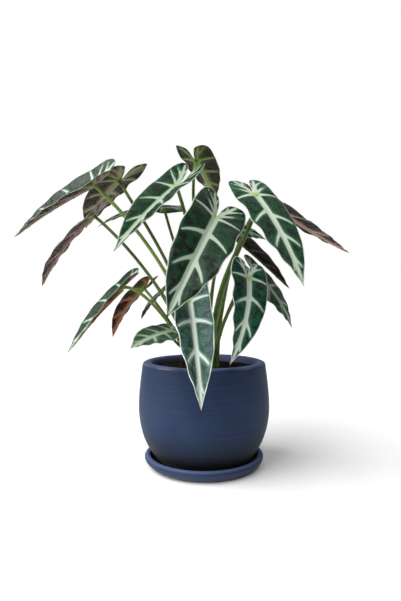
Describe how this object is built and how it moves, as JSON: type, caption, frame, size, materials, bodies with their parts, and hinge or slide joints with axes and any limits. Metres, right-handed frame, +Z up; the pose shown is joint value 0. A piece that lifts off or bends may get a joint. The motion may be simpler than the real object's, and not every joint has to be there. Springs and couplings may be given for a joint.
{
  "type": "potted alocasia",
  "caption": "Potted polly alocasia: arrow-shaped dark green leaves with pale veins on upright stems, in a round-bellied blue ceramic pot on a saucer",
  "frame": {"origin": "the middle of the saucer's flat underside", "axes": "+Z up the pot's axis, -Y towards the front that the picture shows, +X to the picture's right"},
  "size_m": [0.4905, 0.2805, 0.4245],
  "materials": {
    "ware": "matte",
    "soil": "matte",
    "leaf": "satin"
  },
  "bodies": {
    "root": {"saucer": "ware", "pot": "ware", "soil": "soil", "leaf_front_middle": "leaf", "leaf_front_left": "leaf", "leaf_top_back": "leaf", "leaf_far_left": "leaf", "leaf_back_left": "leaf", "leaf_long_left": "leaf", "leaf_low_left": "leaf", "leaf_low_left_inner": "leaf", "leaf_low_left_back": "leaf", "leaf_small_pale": "leaf", "leaf_narrow_back": "leaf", "leaf_over_rim": "leaf", "leaf_low_right": "leaf", "leaf_front_right": "leaf", "leaf_far_right": "leaf", "leaf_dark_right": "leaf", "leaf_small_bright": "leaf", "leaf_low_right_back": "leaf"}
  },
  "joints": []
}
